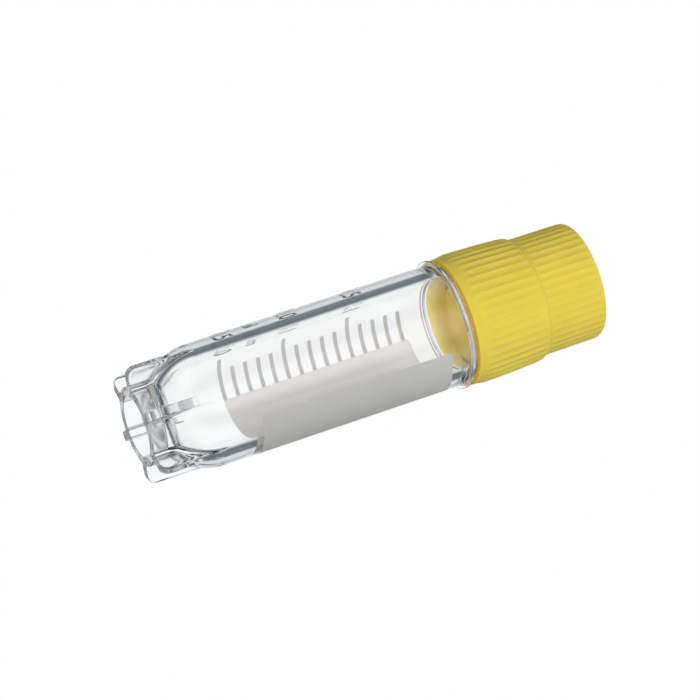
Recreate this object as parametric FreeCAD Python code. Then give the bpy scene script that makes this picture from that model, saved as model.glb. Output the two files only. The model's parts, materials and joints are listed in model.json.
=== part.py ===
import FreeCAD, Part

import math
import os

# Two millilitre cryogenic storage vial: a clear moulded tube that stands on a
# star foot, and a ribbed screw cap with a sealing ring. All lengths are in
# millimetres. The origin is the centre of the foot's lower face, and +Z runs
# up the axis of the vial. Angles are degrees about +Z, counted from +X.

# Tube body: a straight cylinder on a hemispherical bottom.
body_radius = 6.2
body_wall = 1.46                # where the bore meets the inner dome
bore_draft = 0.045              # bore at the mouth, wider so that the core draws out
dome_lift = 1.03                # lowest point of the outer dome above the foot plane

# Star foot: a short ring under the dome, with radial fins out to the body.
ring_inset = 2.12               # outside of the ring, in from the body
ring_wall = 0.93
fin_count = 6
fin_thickness = 0.98
fin_corner = 0.93               # rounding of each fin's lower outer corner
fin_angle = 24.5                # direction of the first fin

# Collar and neck. The neck's screw thread is left to the dressed model.
collar_ledge = 0.465            # collar's edge, out from the body
collar_height = 0.57
collar_round = 0.19
neck_wall = 0.8                 # at the mouth, under the root of the thread
neck_height = 7.65              # above the collar
neck_round = 0.2                # lip of the mouth

# Screw cap: a barrel-shaped lower tier over a plain band, and a narrower upper tier.
collar_gap = 0.12               # cap's lower edge stands clear of the collar
thread_space = 0.46             # radial room for the thread ridges
cap_height = 14.65
cap_wall = 0.66                 # skirt at its widest, outside the bore
cap_band_inset = 0.165          # plain band, in from the widest place
cap_band_rise = 0.72            # top of the plain band above the lower edge
cap_bulge_rise = 1.86           # widest place above the lower edge
cap_shoulder_inset = 0.205      # start of the shoulder, in from the widest place
cap_shoulder_rise = 7.03        # start of the shoulder above the lower edge
cap_step_inset = 0.405          # foot of the upper tier, in from the shoulder
cap_step_rise = 8.215           # foot of the upper tier above the lower edge
cap_upper_taper = 0.03          # upper tier at its top, in from its foot
cap_top_round = 0.55
cap_edge_round = 0.2
cap_lead = 0.12                 # chamfer at the mouth of the bore
web_thickness = 1.75            # disc that closes the neck
recess_wall = 1.1               # wall round the open recess in the top of the cap
recess_round = 0.31             # rounding of the recess's rim

# Flutes between the grip ribs, cut with a round-nosed cutter.
flute_count = 44
flute_cutter = 0.29             # radius of the cutter
flute_depth = 0.135             # at the ends of the lower flutes, deeper between them
upper_flute_depth = 0.155
lower_flute_rise = 1.24         # lower end of the lower flutes
upper_flute_gap = 0.31          # plain strip over the step

# Sealing ring, held in its seat under the cap's web.
seal_thickness = 0.8
seal_ledge = 0.1                # ring's edge, in from the root of the thread
seal_width = 1.3
seal_clearance = 0.03           # radial, in its seat

# Printed layer on the outside of the body.
print_thickness = 0.05
patch_bottom = 10.85
patch_over = 0.37               # field beyond the last tick
patch_margin = 2.14             # clear body between the print and the collar
patch_start = -63.0             # angle of one edge of the writing patch
patch_sweep = 150.7
tick_count = 15
tick_every = 5                  # every fifth tick is a long one
tick_width = 0.41
tick_volume = 100.0             # cubic millimetres between two ticks
short_tick_sweep = 35.9
long_tick_sweep = 53.2

# Places and fits that follow from the sizes above.
dome_centre = dome_lift + body_radius
bore_radius = body_radius - body_wall
mouth_radius = bore_radius + bore_draft
ring_radius = body_radius - ring_inset
ring_bore = ring_radius - ring_wall
tick_pitch = tick_volume / (math.pi * ((bore_radius + mouth_radius) / 2) ** 2)
patch_top = patch_bottom + (tick_count - 1) * tick_pitch + tick_width + patch_over
body_top = patch_top + patch_margin
collar_radius = body_radius + collar_ledge
neck_radius = mouth_radius + neck_wall
collar_top = body_top + collar_height
neck_top = collar_top + neck_height
cap_bottom = collar_top + collar_gap
cap_top = cap_bottom + cap_height
cap_step = cap_bottom + cap_step_rise
cap_bore = neck_radius + thread_space
cap_bulge_radius = cap_bore + cap_wall
cap_band_radius = cap_bulge_radius - cap_band_inset
cap_shoulder_radius = cap_bulge_radius - cap_shoulder_inset
cap_upper_radius = cap_shoulder_radius - cap_step_inset
cap_top_radius = cap_upper_radius - cap_upper_taper
recess_radius = cap_top_radius - recess_wall
seal_radius = neck_radius - seal_ledge
seal_hole_radius = seal_radius - seal_width
seal_top = neck_top + seal_thickness
seal_seat_radius = seal_radius + seal_clearance
web_top = seal_top + web_thickness

ORIGIN = FreeCAD.Vector(0, 0, 0)
UP = FreeCAD.Vector(0, 0, 1)
QUARTER = math.sqrt(0.5)        # sine and cosine of 45 degrees


def point(radius, height):
    """A place in the half plane that the profiles are drawn in."""
    return FreeCAD.Vector(radius, 0, height)


def line(start, end):
    return Part.LineSegment(point(*start), point(*end)).toShape()


def arc(start, middle, end):
    return Part.Arc(point(*start), point(*middle), point(*end)).toShape()


def quarter_round(start, end, centre):
    """A quarter circle between two ends that lie level with and over its centre."""
    reach_r = start[0] + end[0] - 2 * centre[0]
    reach_z = start[1] + end[1] - 2 * centre[1]
    middle = (centre[0] + reach_r * QUARTER, centre[1] + reach_z * QUARTER)
    return arc(start, middle, end)


def revolve(edges):
    """A full turn of a closed profile about the vial's axis."""
    face = Part.Face(Part.Wire(edges))
    return face.revolve(ORIGIN, UP, 360)


def ring_sector(inner, outer, bottom, top, start, sweep):
    """A curved plate that starts at one angle and sweeps round the axis."""
    edges = [
        line((inner, bottom), (outer, bottom)),
        line((outer, bottom), (outer, top)),
        line((outer, top), (inner, top)),
        line((inner, top), (inner, bottom)),
    ]
    plate = Part.Face(Part.Wire(edges)).revolve(ORIGIN, UP, sweep)
    plate.rotate(ORIGIN, UP, start)
    return plate


def around(shape, count, start=0.0):
    """Evenly spaced copies about the axis."""
    copies = []
    for index in range(count):
        copy = shape.copy()
        copy.rotate(ORIGIN, UP, start + 360.0 * index / count)
        copies.append(copy)
    return copies


def tube_outside():
    """Dome, body, collar and neck as one solid, before the bore is cut."""
    round_r = collar_radius - collar_round
    lip_r = neck_radius - neck_round
    dome_low = (body_radius * QUARTER, dome_centre - body_radius * QUARTER)
    edges = [
        arc((0, dome_lift), dome_low, (body_radius, dome_centre)),
        line((body_radius, dome_centre), (body_radius, body_top)),
        line((body_radius, body_top), (round_r, body_top)),
        quarter_round((round_r, body_top), (collar_radius, body_top + collar_round),
                      (round_r, body_top + collar_round)),
        line((collar_radius, body_top + collar_round), (collar_radius, collar_top - collar_round)),
        quarter_round((collar_radius, collar_top - collar_round), (round_r, collar_top),
                      (round_r, collar_top - collar_round)),
        line((round_r, collar_top), (neck_radius, collar_top)),
        line((neck_radius, collar_top), (neck_radius, neck_top - neck_round)),
        quarter_round((neck_radius, neck_top - neck_round), (lip_r, neck_top),
                      (lip_r, neck_top - neck_round)),
        line((lip_r, neck_top), (0, neck_top)),
        line((0, neck_top), (0, dome_lift)),
    ]
    return revolve(edges)


def tube_bore():
    """The space inside: an inner dome under a slightly tapered bore."""
    inner_low = (bore_radius * QUARTER, dome_centre - bore_radius * QUARTER)
    past_mouth = neck_top + neck_round
    edges = [
        arc((0, dome_centre - bore_radius), inner_low, (bore_radius, dome_centre)),
        line((bore_radius, dome_centre), (mouth_radius, neck_top)),
        line((mouth_radius, neck_top), (mouth_radius, past_mouth)),
        line((mouth_radius, past_mouth), (0, past_mouth)),
        line((0, past_mouth), (0, dome_centre - bore_radius)),
    ]
    return revolve(edges)


def foot_fin():
    """One radial fin along +X, from inside the ring's wall out to the body."""
    root = ring_radius - ring_wall / 2
    corner_r = body_radius - fin_corner
    edges = [
        line((root, 0), (corner_r, 0)),
        quarter_round((corner_r, 0), (body_radius, fin_corner), (corner_r, fin_corner)),
        line((body_radius, fin_corner), (body_radius, dome_centre)),
        line((body_radius, dome_centre), (root, dome_centre)),
        line((root, dome_centre), (root, 0)),
    ]
    fin = Part.Face(Part.Wire(edges)).extrude(FreeCAD.Vector(0, fin_thickness, 0))
    fin.translate(FreeCAD.Vector(0, -fin_thickness / 2, 0))
    return fin.common(Part.makeCylinder(body_radius, dome_centre))


def make_tube():
    """The whole clear moulding: star foot, dome, body, collar and neck."""
    ring = Part.makeCylinder(ring_radius, dome_centre)
    ring = ring.cut(Part.makeCylinder(ring_bore, dome_centre))
    solid = tube_outside().fuse([ring] + around(foot_fin(), fin_count, fin_angle))
    return solid.cut(tube_bore()).removeSplitter()


def swell(end, widest):
    """An arc from an end of the barrel to its widest place, upright there."""
    middle = ((end[0] + 3 * widest[0]) / 4, (end[1] + widest[1]) / 2)
    return end, middle, widest


def cap_outside():
    """The cap's outer form with its top recess, before the bore is cut."""
    edge_r = cap_band_radius - cap_edge_round
    widest = (cap_bulge_radius, cap_bottom + cap_bulge_rise)
    band_top = (cap_band_radius, cap_bottom + cap_band_rise)
    shoulder = cap_bottom + cap_shoulder_rise
    rim_r = cap_top_radius - cap_top_round
    rim_in = recess_radius + recess_round
    shoulder_mid = (cap_upper_radius + (cap_shoulder_radius - cap_upper_radius) * QUARTER,
                    shoulder + (cap_step - shoulder) * QUARTER)
    edges = [
        line((0, cap_bottom), (edge_r, cap_bottom)),
        quarter_round((edge_r, cap_bottom), (cap_band_radius, cap_bottom + cap_edge_round),
                      (edge_r, cap_bottom + cap_edge_round)),
        line((cap_band_radius, cap_bottom + cap_edge_round), band_top),
        arc(*swell(band_top, widest)),
        arc(*reversed(swell((cap_shoulder_radius, shoulder), widest))),
        arc((cap_shoulder_radius, shoulder), shoulder_mid, (cap_upper_radius, cap_step)),
        line((cap_upper_radius, cap_step), (cap_top_radius, cap_top - cap_top_round)),
        quarter_round((cap_top_radius, cap_top - cap_top_round), (rim_r, cap_top),
                      (rim_r, cap_top - cap_top_round)),
        line((rim_r, cap_top), (rim_in, cap_top)),
        quarter_round((rim_in, cap_top), (recess_radius, cap_top - recess_round),
                      (rim_in, cap_top - recess_round)),
        line((recess_radius, cap_top - recess_round), (recess_radius, web_top)),
        line((recess_radius, web_top), (0, web_top)),
        line((0, web_top), (0, cap_bottom)),
    ]
    return revolve(edges)


def cap_bore_space():
    """Room for the neck, with the narrower seat of the sealing ring above it."""
    edges = [
        line((0, cap_bottom), (cap_bore + cap_lead, cap_bottom)),
        line((cap_bore + cap_lead, cap_bottom), (cap_bore, cap_bottom + cap_lead)),
        line((cap_bore, cap_bottom + cap_lead), (cap_bore, neck_top)),
        line((cap_bore, neck_top), (seal_seat_radius, neck_top)),
        line((seal_seat_radius, neck_top), (seal_seat_radius, seal_top)),
        line((seal_seat_radius, seal_top), (0, seal_top)),
        line((0, seal_top), (0, cap_bottom)),
    ]
    return revolve(edges)


def flute_tool(low, high, depth):
    """A round-nosed cutter in the plane of +X that follows the line low to high."""
    offset = flute_cutter - depth
    start = point(low[0] + offset, low[1])
    run = point(high[0] + offset, high[1]) - start
    shaft = Part.makeCylinder(flute_cutter, run.Length, start, run)
    return shaft.fuse(Part.makeSphere(flute_cutter, start))


def make_cap():
    """The ribbed cap in one moulding."""
    low = (cap_bulge_radius, cap_bottom + lower_flute_rise)
    high = (cap_shoulder_radius, cap_bottom + cap_shoulder_rise)
    past = (high[0] + (high[0] - low[0]) / 3, high[1] + (high[1] - low[1]) / 3)
    foot = (cap_upper_radius, cap_step + upper_flute_gap + flute_cutter)
    top = (cap_top_radius, cap_top)
    tools = around(flute_tool(low, past, flute_depth), flute_count, 180.0 / flute_count)
    tools += around(flute_tool(foot, top, upper_flute_depth), flute_count, 180.0 / flute_count)
    return cap_outside().cut(cap_bore_space()).cut(tools)


def make_seal_ring():
    """The flat sealing ring that the neck's lip presses against."""
    ring = Part.makeCylinder(seal_radius, seal_thickness, point(0, neck_top))
    return ring.cut(Part.makeCylinder(seal_hole_radius, seal_thickness, point(0, neck_top)))


def make_writing_patch():
    """The printed field for notes."""
    return ring_sector(body_radius, body_radius + print_thickness, patch_bottom, patch_top,
                       patch_start, patch_sweep)


def make_graduation():
    """The printed volume scale, which rises from the patch's edge."""
    ticks = []
    for index in range(tick_count):
        middle = patch_bottom + tick_width / 2 + index * tick_pitch
        sweep = long_tick_sweep if index % tick_every == 0 else short_tick_sweep
        ticks.append(ring_sector(body_radius, body_radius + print_thickness,
                                 middle - tick_width / 2, middle + tick_width / 2,
                                 patch_start + patch_sweep, sweep))
    return Part.makeCompound(ticks)


def main():
    os.makedirs("parts", exist_ok=True)
    makers = {
        "tube": make_tube,
        "writing_patch": make_writing_patch,
        "graduation": make_graduation,
        "seal_ring": make_seal_ring,
        "cap": make_cap,
    }
    for node, make in makers.items():
        shape = make()
        shape.exportStep("parts/" + node + ".step")
        print(node, len(shape.Solids), "solid(s)", round(shape.Volume, 3), "mm3", shape.isValid())


main()
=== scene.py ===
import json
import math

import bmesh
import bpy
from mathutils import Matrix, Vector


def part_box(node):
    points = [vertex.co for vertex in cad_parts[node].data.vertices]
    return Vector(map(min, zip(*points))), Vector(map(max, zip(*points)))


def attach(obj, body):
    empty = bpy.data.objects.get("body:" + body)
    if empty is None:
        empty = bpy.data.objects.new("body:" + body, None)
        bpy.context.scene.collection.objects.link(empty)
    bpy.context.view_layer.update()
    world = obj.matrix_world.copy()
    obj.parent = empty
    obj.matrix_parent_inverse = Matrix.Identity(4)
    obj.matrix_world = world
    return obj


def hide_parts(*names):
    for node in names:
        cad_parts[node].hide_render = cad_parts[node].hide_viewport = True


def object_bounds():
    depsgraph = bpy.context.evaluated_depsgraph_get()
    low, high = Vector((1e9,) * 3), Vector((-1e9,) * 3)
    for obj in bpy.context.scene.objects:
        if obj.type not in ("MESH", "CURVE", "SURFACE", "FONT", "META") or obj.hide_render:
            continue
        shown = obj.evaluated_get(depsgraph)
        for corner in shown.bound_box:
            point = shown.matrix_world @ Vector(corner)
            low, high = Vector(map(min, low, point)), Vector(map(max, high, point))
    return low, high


bl_info = {
    "name": "Cryogenic vial",
    "version": (1, 0, 0),
    "blender": (4, 5, 0),
    "location": "View3D > Sidebar > Vial",
    "description": "Clear cryogenic vial with printed scale, sealing ring and ribbed screw cap",
    "category": "Add Mesh",
}

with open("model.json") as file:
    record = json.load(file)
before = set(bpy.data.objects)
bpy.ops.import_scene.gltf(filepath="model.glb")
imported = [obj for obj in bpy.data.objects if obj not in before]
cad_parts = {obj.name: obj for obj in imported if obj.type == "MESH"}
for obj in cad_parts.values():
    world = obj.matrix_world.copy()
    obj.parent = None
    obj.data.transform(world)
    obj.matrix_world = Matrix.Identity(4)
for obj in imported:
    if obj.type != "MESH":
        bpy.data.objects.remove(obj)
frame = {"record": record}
CAD_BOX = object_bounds()
# The cap's widest place stays this far inside the box of its solid
HAIR = 0.000001


def top_of(node):
    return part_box(node)[1][2]


def bottom_of(node):
    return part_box(node)[0][2]


def half_width(node):
    low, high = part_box(node)
    return (high[0] - low[0]) / 2


def mount_radius(name):
    """Radius in metres of one of the record's round mounts."""
    for mount in frame["record"]["mounts"]:
        if mount["name"] == name:
            return mount["dims"]["r_mm"] / 1000
    raise ValueError("the record has no mount " + name)


# --- Settings ---


def setting(kind, **details):
    """A maker of properties of one kind, from a name, a description and a default."""
    def make(name, description, default):
        return kind(name=name, description=description, default=default, **details)

    return make


length = setting(bpy.props.FloatProperty, min=0, unit="LENGTH", precision=5)
radians = setting(bpy.props.FloatProperty, subtype="ANGLE")
number = setting(bpy.props.FloatProperty)
whole = setting(bpy.props.IntProperty)
colour = setting(bpy.props.FloatVectorProperty, min=0, max=1, size=3, subtype="COLOR")


def angle(name, description, degrees):
    return radians(name, description, math.radians(degrees))


class VialTubeSettings(bpy.types.PropertyGroup):
    """Sizes and colour of the clear tube."""

    body_radius: length("Body radius", "Outside of the straight body", mount_radius("rack_body"))
    neck_top: length("Neck top", "Height of the mouth's lip", top_of("tube"))
    collar_radius: length("Collar radius", "Outside of the collar", half_width("tube"))
    collar_margin: length("Collar margin", "Clear body between print and collar", 0.00207)
    collar_height: length("Collar height", "Thickness of the collar", 0.00028)
    dome_lift: length("Dome lift", "Lowest point of the outer dome", 0.00103)
    bore_radius: length("Bore radius", "Bore where it meets the inner dome", 0.00474)
    mouth_radius: length("Mouth radius", "Bore at the mouth", 0.004785)
    neck_radius: length("Neck radius", "Root of the thread", 0.005585)
    ring_radius: length("Foot ring radius", "Outside of the foot's ring", 0.00408)
    ring_wall: length("Foot ring wall", "Thickness of the foot's ring", 0.00093)
    fin_thickness: length("Fin thickness", "Thickness of a foot fin", 0.00098)
    fin_corner: length("Fin corner", "Rounding of a fin's lower outer corner", 0.00093)
    fin_count: whole("Fins", "Fins of the star foot", 6)
    fin_angle: angle("Fin angle", "Direction of the first fin", 24.5)
    tint: colour("Tint", "Body colour of the clear polypropylene", (0.992, 0.996, 0.999))


class VialThreadSettings(bpy.types.PropertyGroup):
    """The screw thread that the neck and the cap share."""

    pitch: length("Pitch", "Rise of the thread in one turn", 0.003)
    depth: length("Depth", "Height of a ridge", 0.00028)
    base: length("Base half width", "Half the width of a ridge at its root", 0.0009)
    crest: length("Crest half width", "Half the width of a ridge at its crest", 0.00005)
    start: length("Start", "Height of the neck's ridge at zero turns", 0.03544)
    neck_turns: number("Neck turns", "Turns of the ridge on the neck", 1.7)
    cap_turns: number("Cap turns", "Turns of the ridge in the cap", 1.2)
    flank_gap: length("Flank gap", "Axial play between the ridges", 0.0001)


class VialCapSettings(bpy.types.PropertyGroup):
    """Sizes and colour of the screw cap."""

    bottom: length("Lower edge", "Height of the cap's lower edge", bottom_of("cap"))
    top: length("Top", "Height of the cap's rim", top_of("cap"))
    bulge_radius: length("Bulge radius", "Lower tier at its widest", half_width("cap") - HAIR)
    bulge_rise: length("Bulge rise", "Widest place above the lower edge", 0.00186)
    band_inset: length("Band inset", "Plain band, in from the widest place", 0.000165)
    band_rise: length("Band rise", "Top of the plain band above the lower edge", 0.00072)
    shoulder_inset: length("Shoulder inset", "Shoulder, in from the widest place", 0.000205)
    shoulder_rise: length("Shoulder rise", "Start of the shoulder above the edge", 0.00703)
    step_inset: length("Step inset", "Foot of the upper tier, in from the shoulder", 0.000405)
    step_rise: length("Step rise", "Foot of the upper tier above the edge", 0.008215)
    taper: length("Upper taper", "Top of the upper tier, in from its foot", 0.00003)
    top_round: length("Top rounding", "Rounding of the top edge", 0.00055)
    edge_round: length("Edge rounding", "Rounding of the lower edge", 0.0003)
    lead: length("Lead", "Chamfer at the mouth of the bore", 0.00012)
    bore: length("Bore", "Radius of the cap's bore", 0.006045)
    seat_clearance: length("Seat clearance", "Radial play of the sealing ring", 0.00003)
    web_thickness: length("Web thickness", "Disc that closes the neck", 0.00175)
    recess_wall: length("Recess wall", "Wall round the recess in the top", 0.0011)
    recess_round: length("Recess rounding", "Rounding of the recess's rim", 0.00031)
    ribs: whole("Ribs", "Grip ribs round each tier", 44)
    cutter: length("Flute radius", "Radius of a flute's section", 0.0008)
    flute_depth: length("Lower flutes", "Depth of the lower flutes", 0.0001)
    upper_depth: length("Upper flutes", "Depth of the upper flutes", 0.000115)
    flute_soft: length("Flute edge", "Rounding of a flute's edges", 0.00012)
    flute_rise: length("Flute rise", "Lower end of the lower flutes", 0.00124)
    upper_gap: length("Step strip", "Plain strip over the step", 0.00031)
    paint: colour("Colour", "Yellow of the moulded cap", (0.775, 0.635, 0.1))


class VialPrintSettings(bpy.types.PropertyGroup):
    """The printed field, scale and numbers, and the sealing ring's colour."""

    ink_under: length("Ink under", "Depth of the ink in the surface", 0.000015)
    ink_over: length("Ink over", "Height of the ink over the surface", 0.00003)
    patch_start: angle("Field start", "Angle of one edge of the field", -63)
    patch_sweep: angle("Field sweep", "Arc that the field covers", 150.7)
    patch_corner: length("Field corner", "Rounding of the field's corners", 0.0003)
    tick_count: whole("Ticks", "Marks on the scale", 15)
    tick_every: whole("Every", "One mark in this many is long", 5)
    tick_width: length("Tick width", "Width of a mark", 0.00041)
    short_sweep: angle("Short tick", "Arc of a short mark", 35.9)
    long_sweep: angle("Long tick", "Arc of a long mark", 53.2)
    number_height: length("Number height", "Height of the scale's numbers", 0.00185)
    number_angle: angle("Number angle", "Where the numbers start", 151)
    ink: colour("Ink", "Colour of the print", (0.50, 0.523, 0.51))
    number_ink: colour("Number ink", "Colour of the scale's numbers", (0.22, 0.23, 0.235))
    undercoat: colour("Undercoat", "Print seen through the plastic", (0.96, 0.935, 0.92))
    silicone: colour("Silicone", "Colour of the sealing ring", (0.78, 0.78, 0.73))


class VialStageSettings(bpy.types.PropertyGroup):
    """Camera, light and floor."""

    camera_distance: length("Camera distance", "From the middle of the vial", 0.4133)
    camera_below: angle("Camera below", "Climb of the view from the foot's side", 18.7)
    camera_roll: angle("Camera roll", "Turn that lays the vial across the view", 71.65)
    lens: number("Lens", "Focal length in millimetres", 215)
    floor_size: length("Floor", "Half the width of the floor", 0.4)


# --- Node helpers ---


def operators(operation):
    """A Python operator and its reflected form that both add the same Math node."""
    def forward(value, other):
        return value.math(operation, value, other)

    def reflected(value, other):
        return value.math(operation, other, value)

    return forward, reflected


class Value:
    """A node's output; arithmetic on it adds Math nodes to the same tree."""

    def __init__(self, nodes, link):
        self.nodes = nodes
        self.link = link

    def math(self, operation, left, right=0.0):
        return self.nodes.add("ShaderNodeMath", {0: left, 1: right}, operation=operation)

    def output(self, name):
        """Another output of the node that this one belongs to."""
        return Value(self.nodes, self.link.node.outputs[name])

    def larger(self, other):
        return self.math("MAXIMUM", self, other)

    def root(self):
        return self.math("SQRT", self)

    def __abs__(self):
        return self.math("ABSOLUTE", self)

    __add__, __radd__ = operators("ADD")
    __sub__, __rsub__ = operators("SUBTRACT")
    __mul__, __rmul__ = operators("MULTIPLY")
    __truediv__, __rtruediv__ = operators("DIVIDE")
    __mod__, __rmod__ = operators("MODULO")
    __gt__ = operators("GREATER_THAN")[0]
    __lt__ = operators("LESS_THAN")[0]


class Nodes:
    """A node tree that is filled by one method."""

    # Sockets of a Mix node that mixes colours
    FACTOR, FIRST, SECOND, RESULT = 0, 6, 7, 2

    def __init__(self, tree):
        self.tree = tree
        tree.nodes.clear()

    def add(self, kind, inputs=None, output=0, **settings):
        """Adds a node: its settings first, then its sockets' values, links or lists of links."""
        node = self.tree.nodes.new(kind)
        for name, value in settings.items():
            setattr(node, name, value)
        for name, value in (inputs or {}).items():
            for item in value if isinstance(value, list) else [value]:
                if isinstance(item, Value):
                    self.tree.links.new(item.link, node.inputs[name])
                else:
                    node.inputs[name].default_value = item
        if not node.outputs:
            return None
        return Value(self, node.outputs[output])

    def place(self):
        """Object coordinates, which stay with a piece that moves."""
        return self.add("ShaderNodeTexCoord", output="Object")

    def facing(self):
        """The way a surface faces, in its piece's own space."""
        return self.add("ShaderNodeTexCoord", output="Normal")

    def axes(self, vector, output="X"):
        return self.add("ShaderNodeSeparateXYZ", {0: vector}, output)

    def vectors(self, operation, inputs, output="Vector"):
        return self.add("ShaderNodeVectorMath", inputs, output, operation=operation)

    def mix(self, factor, first, second):
        """One colour turning into another."""
        inputs = {self.FACTOR: factor, self.FIRST: first, self.SECOND: second}
        return self.add("ShaderNodeMix", inputs, self.RESULT, data_type="RGBA")

    def noise(self, place, scale, detail=2.0):
        inputs = {"Vector": place, "Scale": scale, "Detail": detail}
        return self.add("ShaderNodeTexNoise", inputs)

    def soft_step(self, value, start, end, low=0.0, high=1.0):
        """A smooth change from low to high while a value goes from start to end."""
        inputs = {"Value": value, "From Min": start, "From Max": end,
                  "To Min": low, "To Max": high}
        return self.add("ShaderNodeMapRange", inputs, interpolation_type="SMOOTHSTEP")

    def bump(self, height, strength, distance):
        inputs = {"Strength": strength, "Distance": distance, "Height": height}
        return self.add("ShaderNodeBump", inputs)

    def principled(self, **sockets):
        """The surface shader; a socket's name is written with _ for its spaces."""
        inputs = {name.replace("_", " "): value for name, value in sockets.items()}
        return self.add("ShaderNodeBsdfPrincipled", inputs)

    def coloured(self, kind, tone):
        """A Diffuse, Translucent or Transparent shader."""
        return self.add("ShaderNodeBsdf" + kind, {"Color": tone})

    def blend(self, factor, first, second):
        """One shader turning into another."""
        return self.add("ShaderNodeMixShader", {0: factor, 1: first, 2: second})

    def finish(self, surface):
        self.add("ShaderNodeOutputMaterial", {"Surface": surface})


def shade(tone, factor):
    """A lighter or darker version of a colour."""
    return tuple(min(1.0, channel * factor) for channel in tone)


def opaque(tone, factor=1.0):
    return (*shade(tone, factor), 1.0)


def new_material(name):
    material = bpy.data.materials.new(name)
    material.use_nodes = True
    return material, Nodes(material.node_tree)


# --- Materials ---


PLASTIC_IOR = 1.49
WHITE = (1.0, 1.0, 1.0, 1.0)
# Waves to the metre of each pattern, so a larger number is a finer one
FLOW_MARKS, TUBE_CLOUD = 420.0, 160.0
CAP_CLOUD, CAP_GRAIN = 350.0, 9000.0
RING_CLOUD, INK_CLOUD, INK_TOOTH, FLOOR_CLOUD = 900.0, 700.0, 7000.0, 60.0


def clear_polypropylene(tint, neck_start):
    """Clear moulded plastic: faint flow marks, slightly uneven gloss and a hazy neck."""
    material, nodes = new_material("clear_polypropylene")
    place = nodes.place()
    height = nodes.axes(place, "Z")
    drawn_out = (1.0, 1.0, 0.12)
    flow = nodes.add("ShaderNodeMapping", {"Vector": place, "Scale": drawn_out})
    streaks = nodes.noise(flow, FLOW_MARKS)
    cloud = nodes.noise(place, TUBE_CLOUD)
    satin_foot = nodes.soft_step(height, start=0.0022, end=0.003, low=0.12, high=0.0)
    surface = nodes.principled(
        IOR=PLASTIC_IOR, Transmission_Weight=1.0,
        Base_Color=nodes.mix(cloud, opaque(tint, 0.985), opaque(tint, 1.01)),
        Roughness=satin_foot + 0.015 + 0.03 * streaks,
        Normal=nodes.bump(streaks, strength=0.05, distance=0.0002),
    )
    milk = opaque((0.97, 0.93, 0.88))
    milky = nodes.blend(0.5, nodes.coloured("Diffuse", milk), nodes.coloured("Translucent", milk))
    haze_rise = 0.0012
    neck = nodes.soft_step(height, neck_start, neck_start + haze_rise)
    hazy = nodes.blend(neck * (0.16 + 0.08 * cloud), surface, milky)
    path = nodes.add("ShaderNodeLightPath")
    passing = path.output("Is Shadow Ray").larger(path.output("Is Diffuse Ray"))
    nodes.finish(nodes.blend(passing, hazy, nodes.coloured("Transparent", opaque(tint, 0.97))))
    return material


def faces_axis(nodes, place):
    """1 on faces that look towards the vial's axis, 0 on those that look outwards."""
    # Level faces are left out by a margin, because theirs would be decided by rounding
    margin = 0.001
    level = nodes.vectors("MULTIPLY", {0: place, 1: (1.0, 1.0, 0.0)})
    return nodes.vectors("DOT_PRODUCT", {0: nodes.facing(), 1: level}, "Value") < -margin


def moulded_yellow(paint):
    """Satin yellow polypropylene with a fine spark-eroded grain, with painted light inside and
    painted shade below.
    """
    material, nodes = new_material("moulded_yellow")
    place = nodes.place()
    cloud = nodes.noise(place, CAP_CLOUD, 3.0)
    grain = nodes.noise(place, CAP_GRAIN, 4.0)
    base = nodes.mix(cloud, opaque(paint, 0.94), opaque(paint, 1.05))
    # Painted shade: every face that looks down gets a darker, deeper amber in place of the yellow.
    # It stands in for the shade on the cap's undersides and on its rim in the gap over the collar.
    downward = -0.6
    underside = nodes.axes(nodes.facing(), "Z") < downward
    painted_underside_shade = (0.74, 0.43, 0.02, 1.0)
    outside = nodes.mix(underside, base, painted_underside_shade)
    # Painted light: faces that look towards the axis get a lighter copy of the yellow. It stands in
    # for light that passes through the cap's wall.
    painted_inner_light = nodes.vectors("MULTIPLY", {0: base, 1: (1.22, 1.05, 1.35)})
    roughness = 0.38 + 0.16 * grain
    bump = nodes.bump(grain, strength=0.25, distance=0.00003)
    skins = [
        nodes.principled(
            IOR=PLASTIC_IOR, Specular_IOR_Level=0.15, Subsurface_Weight=1.0,
            Subsurface_Radius=spread, Subsurface_Scale=reach,
            Base_Color=tone, Roughness=roughness, Normal=bump,
        )
        for reach, spread, tone in ((0.0004, (1.0, 0.9, 0.4), outside),
                                    (0.006, (1.0, 0.55, 0.35), painted_inner_light))
    ]
    # Faces that look towards the axis take the skin that carries the painted light.
    nodes.finish(nodes.blend(faces_axis(nodes, place), *skins))
    return material


def soft_silicone(tone):
    """Milky silicone of the sealing ring."""
    material, nodes = new_material("soft_silicone")
    cloud = nodes.noise(nodes.place(), RING_CLOUD, 3.0)
    nodes.finish(nodes.principled(
        Subsurface_Weight=0.3, Subsurface_Scale=0.0008,
        Base_Color=nodes.mix(cloud, opaque(tone, 0.95), opaque(tone, 1.04)),
        Roughness=0.5 + 0.15 * cloud,
        Normal=nodes.bump(cloud, strength=0.15, distance=0.00004),
    ))
    return material


def printed_ink(name, ink, undercoat, passed, gloss):
    """Matt screen print over a paler undercoat: mottled, with the fine tooth of its mesh."""
    material, nodes = new_material(name)
    place = nodes.place()
    cloud = nodes.noise(place, INK_CLOUD, 3.0)
    tooth = nodes.noise(place, INK_TOOTH)
    tone = nodes.mix(faces_axis(nodes, place), opaque(ink), opaque(undercoat))
    mottle = {0: tone, "Scale": 0.92 + 0.11 * cloud + 0.04 * tooth}
    surface = nodes.principled(
        Base_Color=nodes.vectors("SCALE", mottle),
        Roughness=0.6 + 0.2 * tooth, Specular_IOR_Level=gloss,
        Normal=nodes.bump(tooth, strength=0.3, distance=0.00002),
    )
    nodes.finish(nodes.blend(passed, surface, nodes.coloured("Translucent", opaque(undercoat))))
    return material


# --- Mesh helpers ---


def steps(start, end, count):
    """Evenly spaced values from start to end, both included."""
    return [start + (end - start) * index / count for index in range(count + 1)]


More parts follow.
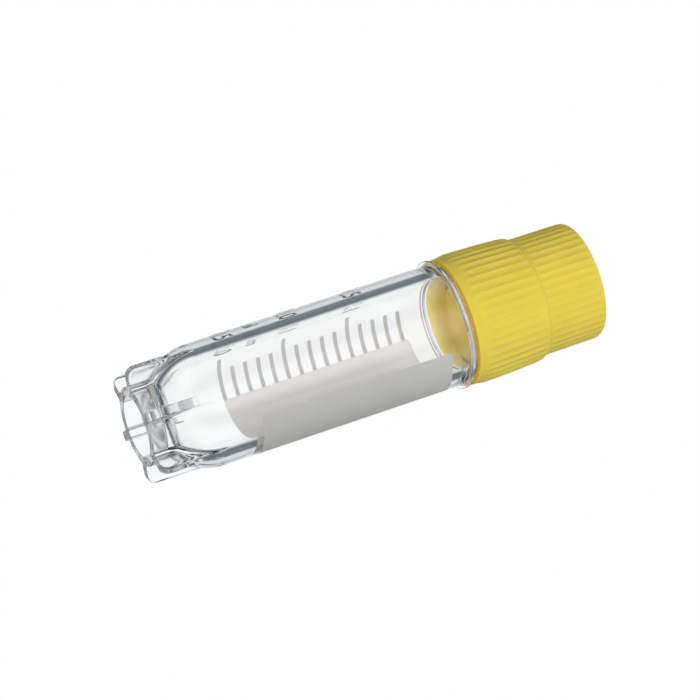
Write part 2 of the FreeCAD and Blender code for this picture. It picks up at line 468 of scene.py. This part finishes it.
def quarter(centre, radius, start_degrees, end_degrees, count):
    """Points of an arc in the radius and height plane."""
    points = []
    for turn in steps(math.radians(start_degrees), math.radians(end_degrees), count):
        points.append((centre[0] + radius * math.cos(turn), centre[1] + radius * math.sin(turn)))
    return points


def smooth_union(first, second, blend):
    """The nearer of two distances, with a fillet where they are alike."""
    overlap = max(blend - abs(first - second), 0.0) / blend
    return min(first, second) - overlap * overlap * blend / 4


def smooth_cut(first, second, blend):
    """The farther of two distances, with a rounded edge where they are alike."""
    return -smooth_union(-first, -second, blend)


def ramp(value, start, end):
    """A smooth step from 0 at start to 1 at end."""
    share = min(1.0, max(0.0, (value - start) / (end - start)))
    return share * share * (3 - 2 * share)


def supported(rows):
    """Rows with one more just inside each end of a long plain span, which keeps its shading."""
    reach = 0.00002
    shortest, long_span = reach / 10, 15 * reach
    result = [rows[0]]
    for (first, low), (second, high) in zip(rows, rows[1:]):
        plain = not isinstance(first, list) and not isinstance(second, list)
        span = math.hypot(second - first, high - low) if plain else 0.0
        if plain and span < shortest:
            continue
        if span > long_span and first > 0 and second > 0:
            for share in (reach / span, 1 - reach / span):
                result.append((first + (second - first) * share, low + (high - low) * share))
        result.append((second, high))
    return result


def store(mesh, data):
    """Writes worked-on geometry into a mesh and lets go of it."""
    mesh.to_mesh(data)
    mesh.free()
    return data


def store_smooth(mesh, data):
    for face in mesh.faces:
        face.smooth = True
    return store(mesh, data)


def close_up(data, *others, weld=0.0):
    """Joins skins, merges doubles within a weld distance, and turns the faces outwards."""
    mesh = bmesh.new()
    for part in (data, *others):
        mesh.from_mesh(part)
    if weld:
        bmesh.ops.remove_doubles(mesh, verts=mesh.verts, dist=weld)
    bmesh.ops.recalc_face_normals(mesh, faces=mesh.faces)
    return store_smooth(mesh, data)


def skin_mesh(name, rows, angles, closed=True):
    """A skin from rows of (radius or radii, height); a row of radius 0 is a pole."""
    mesh = bmesh.new()
    loops = []
    for radii, height in supported(rows):
        if radii == 0:
            loops.append([mesh.verts.new((0, 0, height))])
            continue
        loop = []
        for index, turn in enumerate(angles):
            radius = radii[index] if isinstance(radii, list) else radii
            loop.append(mesh.verts.new((radius * math.cos(turn), radius * math.sin(turn), height)))
        loops.append(loop)
    count = len(angles)
    spans = count if closed else count - 1
    for lower, upper in zip(loops, loops[1:]):
        for index in range(spans):
            after = (index + 1) % count
            corners = [lower[index % len(lower)], lower[after % len(lower)],
                       upper[after % len(upper)], upper[index % len(upper)]]
            mesh.faces.new(list(dict.fromkeys(corners)))
    return store_smooth(mesh, bpy.data.meshes.new(name))


def add_object(name, data):
    item = bpy.data.objects.new(name, data)
    bpy.context.scene.collection.objects.link(item)
    return item


def plain_mesh(item):
    """Turns an object's evaluated shape into a plain mesh and removes the object."""
    graph = bpy.context.evaluated_depsgraph_get()
    data = bpy.data.meshes.new_from_object(item.evaluated_get(graph), depsgraph=graph)
    bpy.data.objects.remove(item)
    return data


def place_piece(name, data, material, body, slot, *nodes):
    """Puts a finished mesh in the scene as a piece of the vial."""
    data.materials.clear()
    data.materials.append(material)
    piece = add_object(name, data)
    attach(piece, body)
    if nodes:
        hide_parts(*nodes)


def start_tree(name, sockets):
    """Nodes of a new geometry tree, and a value for each of its named inputs."""
    tree = bpy.data.node_groups.new(name, "GeometryNodeTree")
    for socket, kind in sockets.items():
        tree.interface.new_socket(socket, in_out="INPUT", socket_type="NodeSocket" + kind)
    tree.interface.new_socket("Geometry", in_out="OUTPUT", socket_type="NodeSocketGeometry")
    nodes = Nodes(tree)
    group = nodes.add("NodeGroupInput")
    return nodes, [group.output(socket) for socket in sockets]


def set_out(nodes, shape, points, **more):
    """Instances of another object on points."""
    model = nodes.add("GeometryNodeObjectInfo", {"Object": shape}, "Geometry")
    inputs = {"Points": points, "Instance": model, **more}
    return nodes.add("GeometryNodeInstanceOnPoints", inputs)


def finish_tree(nodes, instances, material, weld=None):
    """Ends a tree: makes its instances real, welds them if asked, and paints them."""
    shape = nodes.add("GeometryNodeRealizeInstances", {"Geometry": instances})
    if weld is not None:
        shape = nodes.add("GeometryNodeMergeByDistance", {"Geometry": shape, "Distance": weld})
    shape = nodes.add("GeometryNodeSetMaterial", {"Geometry": shape, "Material": material})
    nodes.add("NodeGroupOutput", {"Geometry": shape})
    return nodes.tree


def grow(tree, inputs, name):
    """Runs a geometry tree with named inputs and returns its result as a plain mesh."""
    carrier = add_object(name, bpy.data.meshes.new(name))
    modifier = carrier.modifiers.new(name, "NODES")
    modifier.node_group = tree
    for socket in tree.interface.items_tree:
        if socket.in_out == "INPUT":
            modifier[socket.identifier] = inputs[socket.name]
    carrier.update_tag()
    data = plain_mesh(carrier)
    data.name = name
    return data


def thread_height(thread, turn, height, offset, first, last):
    """How far a helical ridge stands up at an angle and a height."""
    run_out, round_off, laps = 0.07, 0.1, range(-1, 4)
    tall = 0.0
    for lap in laps:
        turns = turn / math.tau + lap
        if turns < first or turns > last:
            continue
        away = abs(height - (thread.start + offset + thread.pitch * turns))
        share = (thread.base - away) / (thread.base - thread.crest)
        end = ramp(turns, first, first + run_out) * (1 - ramp(turns, last - run_out, last))
        tall = max(tall, thread.depth * end * ramp(share, -round_off, 1 + round_off))
    return tall


def threaded_rows(thread, angles, heights, root, side, *ridge):
    """Rows of a threaded wall, whose ridge stands out where side is 1 and in where it is -1."""
    rows = []
    for height in heights:
        radii = [root + side * thread_height(thread, turn, height, *ridge) for turn in angles]
        rows.append((radii, height))
    return rows


# --- Tube ---


# Rounding of the tube's sharp edges
EDGE = 0.0001


def foot_radius(tube, turn, height):
    """Outside of the star foot and the dome in one direction, at one height."""
    crease, fin_edge, fin_root = 0.00012, 0.0002, 0.0003
    drop = tube.dome_lift + tube.body_radius - height
    dome = math.sqrt(max(tube.body_radius**2 - drop**2, 0.0))
    bevel = EDGE - math.sqrt(max(EDGE**2 - max(EDGE - height, 0.0) ** 2, 0.0))
    corner = max(tube.fin_corner - height, 0.0)
    fin_reach = tube.body_radius - tube.fin_corner
    fin_reach += math.sqrt(max(tube.fin_corner**2 - corner**2, 0.0))
    pitch = math.tau / tube.fin_count
    local = (turn - tube.fin_angle + pitch / 2) % pitch - pitch / 2
    round_core = smooth_cut(tube.ring_radius - bevel, dome, crease)

    def outside(radius):
        along = radius * math.cos(local)
        across = abs(radius * math.sin(local))
        flank = across - (tube.fin_thickness / 2 - bevel)
        fin = smooth_cut(flank, along - fin_reach, fin_edge)
        return smooth_union(radius - round_core, fin, fin_root)

    # The search starts well inside the ring and just past the body
    halvings, near, far = 22, 0.8, 1.05
    low, high = tube.ring_radius * near, tube.body_radius * far
    for _ in range(halvings):
        middle = (low + high) / 2
        if outside(middle) < 0:
            low = middle
        else:
            high = middle
    return min(low, tube.body_radius)


def foot_angles(tube):
    """Directions of the mesh's columns, close together at the fins' flanks."""
    half_pitch = 180 / tube.fin_count
    offsets = [0, 1.6, 2.8, 3.5, 4.0, 4.4, 4.8, 5.2, 5.7, 6.3, 7.0, 7.8, 8.8, 10, 11.5, 13, 15,
               17, 19, 21, 23, 25, 27, 28.6]
    sector = [-value for value in reversed(offsets[1:])] + offsets + [half_pitch]
    angles = []
    for fin in range(tube.fin_count):
        middle = tube.fin_angle + math.tau * fin / tube.fin_count
        angles += [middle + math.radians(value) for value in sector]
    return angles


def foot_rows(tube, angles, dome_centre):
    """Rows from the outer dome's lowest point down the ring's bore and up outside the foot."""
    ring_bore = tube.ring_radius - tube.ring_wall
    inset, fillet, fillet_start, fillet_drop, wall_drop = 0.0003, 0.0002, 62, 0.00025, 0.0005
    rows = [(0, tube.dome_lift)]
    for radius in steps(inset, ring_bore - inset, 9):
        rows.append((radius, dome_centre - math.sqrt(tube.body_radius**2 - radius**2)))
    ceiling = dome_centre - math.sqrt(tube.body_radius**2 - ring_bore**2)
    rows += quarter((ring_bore - fillet, ceiling - fillet_drop), fillet, fillet_start, 0, 5)
    rows += [(ring_bore, height) for height in steps(ceiling - wall_drop, 2 * EDGE, 5)]
    rows += quarter((ring_bore + EDGE, EDGE), EDGE, 180, 270, 5)
    rows.append((ring_bore + 2 * EDGE, 0.0))
    rows.append(([max(foot_radius(tube, turn, 0.0) - EDGE / 2, ring_bore + 3 * EDGE)
                  for turn in angles], 0.0))
    heights = [tube.fin_corner * (1 - math.cos(turn)) for turn in steps(0, math.pi / 2, 16)]
    heights += steps(tube.fin_corner, dome_centre, 44)[1:-1]
    for height in heights:
        rows.append(([foot_radius(tube, turn, height) for turn in angles], height))
    return rows


def neck_rows(tube, thread, angles, dome_centre):
    """Rows up the straight body, round the collar and up the threaded neck to the lip."""
    collar_bottom = top_of("writing_patch") + tube.collar_margin
    collar_top = collar_bottom + tube.collar_height
    lip, brow, crisp, lip_round, lip_start = 0.0001, 0.00012, 0.00006, 0.0002, 15
    body_end = collar_bottom - EDGE
    rows = [(tube.body_radius, height) for height in steps(dome_centre, body_end, 4)]
    rows += quarter((tube.body_radius + EDGE, body_end), EDGE, 180, 90, 4)
    rows += quarter((tube.collar_radius - lip, collar_bottom + lip), lip, -90, 0, 7)
    rows += quarter((tube.collar_radius - brow, collar_top - brow), brow, 0, 90, 9)
    rows += quarter((tube.neck_radius + crisp, collar_top + crisp), crisp, 270, 180, 4)
    neck_end = tube.neck_top - lip_round
    neck = steps(collar_top + 2 * EDGE, neck_end, 68)
    rows += threaded_rows(thread, angles, neck, tube.neck_radius, 1, 0.0, 0.0, thread.neck_turns)
    rows += quarter((tube.neck_radius - lip_round, neck_end), lip_round, lip_start, 90, 5)
    return rows


def bore_rows(tube, dome_centre):
    """Rows from the mouth down the bore to the lowest point of the inner dome."""
    mouth = (tube.mouth_radius + EDGE, tube.neck_top - EDGE)
    rows = quarter(mouth, EDGE, 90, 180, 4)
    bore_top = tube.neck_top - 2 * EDGE
    for share in steps(0, 1, 8):
        radius = tube.mouth_radius + (tube.bore_radius - tube.mouth_radius) * share
        rows.append((radius, bore_top + (dome_centre - bore_top) * share))
    for turn in steps(0, math.pi / 2, 40)[1:-1]:
        rows.append((tube.bore_radius * math.cos(turn),
                     dome_centre - tube.bore_radius * math.sin(turn)))
    rows.append((0, dome_centre - tube.bore_radius))
    return rows


class VIAL_OT_tube(bpy.types.Operator):
    """Make the clear tube with its star foot, collar and threaded neck"""

    bl_idname = "vial.tube"
    bl_label = "Tube"

    def execute(self, context):
        tube, thread = context.scene.vial_tube, context.scene.vial_thread
        angles = foot_angles(tube)
        dome_centre = tube.dome_lift + tube.body_radius
        rows = foot_rows(tube, angles, dome_centre)
        rows += neck_rows(tube, thread, angles, dome_centre)
        rows += bore_rows(tube, dome_centre)
        data = close_up(skin_mesh("clear_tube", rows, angles))
        neck_start = top_of("writing_patch") + tube.collar_margin
        material = clear_polypropylene(tube.tint, neck_start)
        place_piece("clear_tube", data, material, "vial", "clear_polypropylene", "tube")
        return {"FINISHED"}


# --- Cap ---


# Radius of the innermost row round the middle of a flat disc, and the cap's welding distance
HUB, CAP_WELD = 0.0006, 0.000002


def swell(height, widest, end, inset):
    """How far the barrel has drawn in at a height between its widest place and an end."""
    return inset * ((height - widest) / (end - widest)) ** 2


def tier_radii(cap):
    """Radii of the shoulder and of the upper tier's foot."""
    shoulder = cap.bulge_radius - cap.shoulder_inset
    return shoulder, shoulder - cap.step_inset


def cap_profile(cap):
    """Outer profile of the cap without flutes, from the lower edge to the top's middle."""
    band_top, widest = cap.bottom + cap.band_rise, cap.bottom + cap.bulge_rise
    shoulder, step = cap.bottom + cap.shoulder_rise, cap.bottom + cap.step_rise
    edge_end, taper_end = cap.bottom + cap.edge_round, cap.top - cap.top_round
    band, upper = cap.bulge_radius - cap.band_inset, tier_radii(cap)[1]
    profile = quarter((band - cap.edge_round, edge_end), cap.edge_round, -90, 0, 5)
    profile += [(band, height) for height in steps(edge_end, band_top, 3)[1:]]
    for end, inset, heights in ((band_top, cap.band_inset, steps(band_top, widest, 11)),
                                (shoulder, cap.shoulder_inset, steps(widest, shoulder, 12))):
        for height in heights[1:]:
            profile.append((cap.bulge_radius - swell(height, widest, end, inset), height))
    for turn in steps(0, math.pi / 2, 12)[1:]:
        profile.append((upper + cap.step_inset * math.cos(turn),
                        shoulder + (step - shoulder) * math.sin(turn)))
    # Rows lie closest where the upper flutes begin
    strip, before, after = step + cap.upper_gap, 0.0001, 0.0005
    flute_foot, flute_full = strip - before, strip + after
    heights = steps(step, flute_foot, 2)[1:] + steps(flute_foot, flute_full, 9)[1:]
    heights += steps(flute_full, taper_end, 8)[1:]
    for height in heights:
        profile.append((upper - cap.taper * (height - step) / (taper_end - step), height))
    top_radius = upper - cap.taper
    profile += quarter((top_radius - cap.top_round, taper_end), cap.top_round, 0, 90, 10)[1:]
    return profile + recess_profile(cap, top_radius - cap.recess_wall)


def recess_profile(cap, recess):
    """Profile of the recess in the top, from its rim to near the middle of its bottom."""
    web_top = top_of("seal_ring") + cap.web_thickness
    ease = 0.00035
    wall = steps(cap.top - 2 * cap.recess_round, web_top + ease, 4)
    profile = quarter((recess + cap.recess_round, cap.top - cap.recess_round),
                      cap.recess_round, 90, 180, 6)
    profile += [(recess, height) for height in wall]
    profile += quarter((recess - ease, web_top + ease), ease, 0, -90, 6)[1:]
    profile += [(radius, web_top) for radius in steps(recess - 2 * ease, HUB, 4)]
    return profile


def fluted_radius(cap, across, radius, height):
    """Radius of the cap's outside at a place, with the flutes taken out of it."""
    shoulder_radius, upper = tier_radii(cap)
    step = cap.bottom + cap.step_rise
    # The flutes end on the top's rounding
    if radius < upper - cap.taper - cap.top_round / 2:
        return radius
    if height < step:
        start, depth, foot = cap.bulge_radius, cap.flute_depth, cap.bottom + cap.flute_rise
        slope = (shoulder_radius - start) / (cap.bottom + cap.shoulder_rise - foot)
    else:
        run_out = 0.0003
        start, depth, foot = upper, cap.upper_depth, step + cap.upper_gap + run_out
        slope = -cap.taper / (cap.top - foot)
    axis = start + slope * max(height - foot, 0.0) + cap.cutter - depth
    reach = cap.cutter**2 - across**2 - max(foot - height, 0.0) ** 2
    if reach <= 0:
        return radius
    return smooth_union(radius, axis - math.sqrt(reach), cap.flute_soft)


def rib_shares():
    """Places of a rib's columns as shares of the pitch, closest at the rib's crest."""
    half = [0.06, 0.13, 0.21, 0.31, 0.42]
    return [-share for share in reversed(half)] + [0] + half + [0.5]


def rib_sector(cap):
    """Mesh of one rib's share of the cap's outside, with half a flute on each side."""
    profile = cap_profile(cap)
    pitch = math.tau / cap.ribs
    angles = [pitch * share for share in [-0.5] + rib_shares()]
    rows = []
    for radius, height in profile:
        widths = [radius * (pitch / 2 - abs(turn)) for turn in angles]
        rows.append(([fluted_radius(cap, across, radius, height) for across in widths], height))
    rows.append((0, profile[-1][1]))
    return skin_mesh("rib_sector", rows, angles, closed=False)


def repeat_round_tree(material):
    """Geometry nodes that repeat a sector about the axis and weld the seams."""
    nodes, (sector, count, weld) = start_tree(
        "Repeat round the axis", {"Sector": "Object", "Count": "Int", "Weld": "Float"}
    )
    points = nodes.add("GeometryNodePoints", {"Count": count})
    turn = nodes.add("GeometryNodeInputIndex") * math.tau / count
    spin = nodes.add("ShaderNodeCombineXYZ", {"Z": turn})
    return finish_tree(nodes, set_out(nodes, sector, points, Rotation=spin), material, weld)


def cap_inside(cap, thread, tube):
    """Mesh of the cap's bore with its thread, from the web's underside to the lower edge."""
    pitch = math.tau / cap.ribs
    angles = [pitch * (rib + share) for rib in range(cap.ribs) for share in rib_shares()]
    seat = half_width("seal_ring") + cap.seat_clearance
    ceiling, ledge = top_of("seal_ring"), tube.neck_top
    corner, chamfer, rim = 0.00002, 0.00005, 0.0001
    rows = [(0, ceiling)]
    rows += [(radius, ceiling) for radius in steps(HUB, seat - corner, 4)]
    rows += [(seat, height) for height in steps(ceiling - corner, ledge + chamfer, 3)]
    rows += [(seat + chamfer, ledge), (cap.bore - rim, ledge)]
    # The cap's ridge rides under the neck's, and starts this part of a turn after it
    offset = -(thread.base + thread.crest + thread.flank_gap)
    first = 0.15
    last = first + thread.cap_turns
    bore = steps(ledge - rim, cap.bottom + cap.lead, 46)
    rows += threaded_rows(thread, angles, bore, cap.bore, -1, offset, first, last)
    rows += [(cap.bore + cap.lead, cap.bottom),
             (cap.bulge_radius - cap.band_inset - cap.edge_round, cap.bottom)]
    return skin_mesh("cap_inside", rows, angles)


class VIAL_OT_cap(bpy.types.Operator):
    """Make the ribbed screw cap, its bore and its thread"""

    bl_idname = "vial.cap"
    bl_label = "Cap"

    def execute(self, context):
        cap, thread = context.scene.vial_cap, context.scene.vial_thread
        material = moulded_yellow(cap.paint)
        sector = add_object("rib_sector", rib_sector(cap))
        inputs = {"Sector": sector, "Count": cap.ribs, "Weld": CAP_WELD}
        outside = grow(repeat_round_tree(material), inputs, "screw_cap")
        bpy.data.objects.remove(sector)
        inside = cap_inside(cap, thread, context.scene.vial_tube)
        data = close_up(outside, inside, weld=CAP_WELD)
        place_piece("screw_cap", data, material, "cap", "yellow_cap", "cap")
        return {"FINISHED"}


class VIAL_OT_seal_ring(bpy.types.Operator):
    """Make the sealing ring that the neck's lip presses on"""

    bl_idname = "vial.seal_ring"
    bl_label = "Sealing ring"

    def execute(self, context):
        columns, ease, width, weld = 128, 0.00012, 0.0013, 0.000001
        low, high = bottom_of("seal_ring"), top_of("seal_ring")
        outer = half_width("seal_ring")
        hole = outer - width
        middle = (outer + hole) / 2
        rows = [(middle, low)]
        rows += quarter((outer - ease, low + ease), ease, -90, 0, 5)
        rows += quarter((outer - ease, high - ease), ease, 0, 90, 5)
        rows += [(middle, high)]
        rows += quarter((hole + ease, high - ease), ease, 90, 180, 5)
        rows += quarter((hole + ease, low + ease), ease, 180, 270, 5)
        rows.append(rows[0])
        angles = [math.tau * index / columns for index in range(columns)]
        data = close_up(skin_mesh("sealing_ring", rows, angles), weld=weld)
        material = soft_silicone(context.scene.vial_print.silicone)
        place_piece("sealing_ring", data, material, "seal", "silicone", "seal_ring")
        return {"FINISHED"}


# --- Print ---


# A capital's share of the letter size, and its strokes' extra weight against its height
CAPITAL_SHARE, STROKE_SHARE = 0.7, 0.022


def wrap(data, radius, under, over):
    """Bends a flat mesh in X and Y onto the body, X as angle, and gives it thickness."""
    mesh = bmesh.new()
    mesh.from_mesh(data)
    top = list(mesh.faces)
    grown = bmesh.ops.extrude_face_region(mesh, geom=top, use_keep_orig=True)
    raised = {item for item in grown["geom"] if isinstance(item, bmesh.types.BMVert)}
    for vert in mesh.verts:
        reach = radius + over if vert in raised else radius - under
        turn, height = vert.co.x / radius, vert.co.y
        vert.co = Vector((reach * math.cos(turn), reach * math.sin(turn), height))
    bmesh.ops.recalc_face_normals(mesh, faces=mesh.faces)
    return store(mesh, data)


def flat_field(name, left, right, bottom, top, corner, columns):
    """A flat field in angle length and height, with rounded corners."""
    mesh = bmesh.new()
    edge = steps(0, math.pi / 2, 6)
    xs = [left + corner * (1 - math.cos(turn)) for turn in edge]
    xs += steps(left + corner, right - corner, columns)[1:-1]
    xs += [right - corner * (1 - math.cos(turn)) for turn in reversed(edge)]
    lines = []
    for x in xs:
        near = max(corner - min(x - left, right - x), 0.0)
        cut = corner - math.sqrt(max(corner**2 - near**2, 0.0))
        lines.append([mesh.verts.new((x, y, 0)) for y in steps(bottom + cut, top - cut, 6)])
    for first, second in zip(lines, lines[1:]):
        for index in range(len(first) - 1):
            mesh.faces.new((first[index], second[index], second[index + 1], first[index + 1]))
    return store(mesh, bpy.data.meshes.new(name))


def ticks_tree(material):
    """Geometry nodes that set out short and long ticks up the scale."""
    nodes, (short, long, count, every, spacing) = start_tree(
        "Scale ticks", {"Short tick": "Object", "Long tick": "Object", "Count": "Int",
                        "Every": "Int", "Spacing": "Float"}
    )
    index = nodes.add("GeometryNodeInputIndex")
    place = nodes.add("ShaderNodeCombineXYZ", {"Z": index * spacing})
    points = nodes.add("GeometryNodePoints", {"Count": count, "Position": place})
    is_long = index % every < 0.5
    both = [set_out(nodes, short, points, Selection=1 - is_long),
            set_out(nodes, long, points, Selection=is_long)]
    joined = nodes.add("GeometryNodeJoinGeometry", {"Geometry": both})
    return finish_tree(nodes, joined, material)


def tick_spacing(printed):
    """Distance between ticks, from the scale's own height."""
    low, high = bottom_of("graduation"), top_of("graduation")
    return (high - low - printed.tick_width) / (printed.tick_count - 1)


def letters_mesh(name, text, height, left, bottom):
    """Flat mesh of a short number or unit, its lower left corner at left and bottom."""
    curve = bpy.data.curves.new(name, "FONT")
    curve.body = text
    curve.size = height / CAPITAL_SHARE
    curve.offset = height * STROKE_SHARE
    data = plain_mesh(add_object(name, curve))
    data.name = name
    data.transform(Matrix.Translation((left, bottom, 0)))
    return data


class VIAL_OT_print(bpy.types.Operator):
    """Make the printed field, the volume scale and its numbers"""

    bl_idname = "vial.print"
    bl_label = "Print"

    def execute(self, context):
        printed, radius = context.scene.vial_print, context.scene.vial_tube.body_radius
        undercoat, under, over = printed.undercoat, printed.ink_under, printed.ink_over
        single_coat, digit_coat = shade(undercoat, 0.76), shade(undercoat, 0.4)
        left = printed.patch_start * radius
        right = left + printed.patch_sweep * radius
        field = flat_field("printed_field", left, right, bottom_of("writing_patch"),
                           top_of("writing_patch"), printed.patch_corner, columns=80)
        place_piece("printed_field", wrap(field, radius, under, over),
                    printed_ink("printed_field", printed.ink, undercoat, passed=0.48, gloss=0.5),
                    "vial", "print", "writing_patch")

        # The ticks start just inside the field's edge, and their ink is a little thinner
        overlap, thinner, tick_corner = 0.0001, 0.9, 0.00005
        low, spacing = bottom_of("graduation"), tick_spacing(printed)
        scale = printed_ink("printed_scale", printed.ink, single_coat, passed=0.4, gloss=0.5)
        shapes = []
        for name, sweep in (("short_tick", printed.short_sweep), ("long_tick", printed.long_sweep)):
            flat = flat_field(name, right - overlap, right + sweep * radius, low,
                              low + printed.tick_width, tick_corner, columns=18)
            shapes.append(add_object(name, wrap(flat, radius, under * thinner, over * thinner)))
        inputs = {"Short tick": shapes[0], "Long tick": shapes[1], "Count": printed.tick_count,
                  "Every": printed.tick_every, "Spacing": spacing}
        ticks = grow(ticks_tree(scale), inputs, "scale_ticks")
        for shape in shapes:
            bpy.data.objects.remove(shape)
        place_piece("scale_ticks", ticks, scale, "vial", "print", "graduation")

        unit_size, unit_place = 0.8, 2.1
        digits = printed_ink("printed_numbers", printed.number_ink, digit_coat,
                             passed=0.0, gloss=0.0)
        tall = printed.number_height
        words = []
        for index, text in enumerate(("0.5", "1.0", "1.5")):
            middle = low + printed.tick_width + index * printed.tick_every * spacing
            words.append(("scale_number_" + str(index + 1), text, tall, middle - tall / 2))
        words.append(("scale_unit", "ml", tall * unit_size, low + unit_place * spacing))
        for name, text, height, bottom in words:
            flat = letters_mesh(name, text, height, printed.number_angle * radius, bottom)
            place_piece(name, wrap(flat, radius, under, over), digits, "vial", "print")
        return {"FINISHED"}


# --- Stage ---


# The camera's small shift from the line to the vial's middle, across and up its view
CAMERA_SHIFT = (-0.00119, 0.00022, 0)
LIT_PLACE = (0, 0, 0.023)


def looking(direction):
    """Rotation of a camera or lamp that looks along a direction."""
    return direction.to_track_quat("-Z", "Y").to_matrix()


def make_camera(stage):
    """The camera below the foot's side, rolled so that the vial lies across the view."""
    camera = add_object("camera", bpy.data.cameras.new("camera"))
    camera.data.lens = stage.lens
    camera.data.clip_start = 0.01
    low, high = CAD_BOX
    below = stage.camera_below
    back = Vector((0, -math.cos(below), -math.sin(below)))
    turned = looking(-back) @ Matrix.Rotation(stage.camera_roll, 3, "Z")
    place = (low + high) / 2 + back * stage.camera_distance + turned @ Vector(CAMERA_SHIFT)
    camera.matrix_world = Matrix.Translation(place) @ turned.to_4x4()
    bpy.context.scene.camera = camera


def make_world():
    """White behind the vial, a plain level light on it, and dark corners in its reflections."""
    level, ceiling = (0.10, 0.10, 0.10, 1.0), (0.30, 0.33, 0.35, 1.0)
    pale_wall, dark_wall = (0.80, 0.83, 0.85, 1.0), (0.06, 0.088, 0.11, 1.0)
    world = bpy.data.worlds.new("studio")
    world.use_nodes = True
    bpy.context.scene.world = world
    nodes = Nodes(world.node_tree)
    path = nodes.add("ShaderNodeLightPath")
    side = nodes.axes(nodes.add("ShaderNodeTexCoord", output="Generated"))
    ahead, up = abs(side.output("Y")), side.output("Z")
    # The dark corners widen below this height
    skyline = 0.32
    drop = (skyline - up).larger(0.0)
    slope = (side * side + drop * drop).root() / ahead
    rise = nodes.soft_step(slope, start=0.40, end=0.66)
    fall = nodes.soft_step(slope, start=1.15, end=1.9)
    sideways = nodes.soft_step(abs(side) / ahead, start=0.06, end=0.36)
    dark = rise * (1 - fall) * sideways
    steep = nodes.soft_step(up, start=0.42, end=0.62)
    direct = nodes.mix(steep, WHITE, ceiling)
    mirrored = nodes.mix(dark.larger(steep), pale_wall, dark_wall)
    seen = nodes.mix(path.output("Glossy Depth") > 0.5, direct, mirrored)
    glass = path.output("Is Transmission Ray").larger(path.output("Is Glossy Ray"))
    tone = nodes.mix(glass, level, seen)
    tone = nodes.mix(path.output("Is Camera Ray"), tone, WHITE)
    back = nodes.add("ShaderNodeBackground", {"Color": tone, "Strength": 1.0})
    nodes.add("ShaderNodeOutputWorld", {"Surface": back})


def make_lamp(name, place, size, power):
    """A round soft lamp aimed at the vial, which shows in no glass or gloss."""
    lamp = bpy.data.lights.new(name, "AREA")
    lamp.shape = "DISK"
    lamp.size = size
    lamp.energy = power
    holder = add_object(name, lamp)
    aim = looking(Vector(LIT_PLACE) - Vector(place))
    holder.matrix_world = Matrix.Translation(place) @ aim.to_4x4()
    holder.visible_transmission = False
    holder.visible_glossy = False


def floor_material(size):
    """Pale floor, clear from below and in reflections, that fades out towards its edge."""
    material, nodes = new_material("pale_floor")
    place = nodes.place()
    cloud = nodes.noise(place, FLOOR_CLOUD)
    tone = nodes.mix(cloud, opaque((0.86, 0.86, 0.86)), opaque((0.89, 0.89, 0.89)))
    surface = nodes.principled(Base_Color=tone, Roughness=0.8)
    far = nodes.vectors("LENGTH", {0: place}, "Value")
    fade = nodes.soft_step(far, start=size * 0.3, end=size * 0.95)
    below = nodes.add("ShaderNodeNewGeometry", output="Backfacing")
    mirrored = nodes.add("ShaderNodeLightPath").output("Glossy Depth") > 0.5
    nodes.finish(nodes.blend(below.larger(mirrored).larger(fade), surface,
                             nodes.coloured("Transparent", WHITE)))
    return material


class VIAL_OT_stage(bpy.types.Operator):
    """Make the camera, the light and the pale floor"""

    bl_idname = "vial.stage"
    bl_label = "Stage"

    def execute(self, context):
        stage = context.scene.vial_stage
        make_camera(stage)
        make_world()
        make_lamp("front_light", (0.05, -0.35, 0.06), size=0.22, power=1.05)
        make_lamp("back_light", (-0.05, 0.35, 0.10), size=0.30, power=1.3)
        make_lamp("top_light", (0, 0, 0.40), size=0.30, power=0.5)
        mesh = bmesh.new()
        bmesh.ops.create_grid(mesh, x_segments=8, y_segments=8, size=stage.floor_size)
        data = store(mesh, bpy.data.meshes.new("floor"))
        data.materials.append(floor_material(stage.floor_size))
        floor = add_object("floor", data)
        context.scene.view_settings.view_transform = "Standard"
        return {"FINISHED"}


# --- Add-on ---


class VIAL_PT_panel(bpy.types.Panel):
    """Buttons and settings of the vial"""

    bl_idname = "VIAL_PT_panel"
    bl_label = "Cryogenic vial"
    bl_space_type = "VIEW_3D"
    bl_region_type = "UI"
    bl_category = "Vial"

    def draw(self, context):
        for step in STEPS:
            self.layout.operator(step.bl_idname)
        for name, group in SETTINGS.items():
            box = self.layout.box()
            box.label(text=group.__doc__)
            for key in group.__annotations__:
                box.prop(getattr(context.scene, name), key)


SETTINGS = {
    "vial_tube": VialTubeSettings,
    "vial_thread": VialThreadSettings,
    "vial_cap": VialCapSettings,
    "vial_print": VialPrintSettings,
    "vial_stage": VialStageSettings,
}
STEPS = (VIAL_OT_stage, VIAL_OT_tube, VIAL_OT_print, VIAL_OT_seal_ring, VIAL_OT_cap)
CLASSES = (*SETTINGS.values(), *STEPS, VIAL_PT_panel)


def register():
    for item in CLASSES:
        bpy.utils.register_class(item)
    for name, group in SETTINGS.items():
        setattr(bpy.types.Scene, name, bpy.props.PointerProperty(type=group))


def unregister():
    for name in SETTINGS:
        delattr(bpy.types.Scene, name)
    for item in reversed(CLASSES):
        bpy.utils.unregister_class(item)


def corners(box):
    return [list(corner) for corner in box]


def main():
    register()
    bpy.ops.vial.stage()
    bpy.ops.vial.tube()
    bpy.ops.vial.print()
    bpy.ops.vial.seal_ring()
    bpy.ops.vial.cap()


if __name__ == "__main__":
    main()
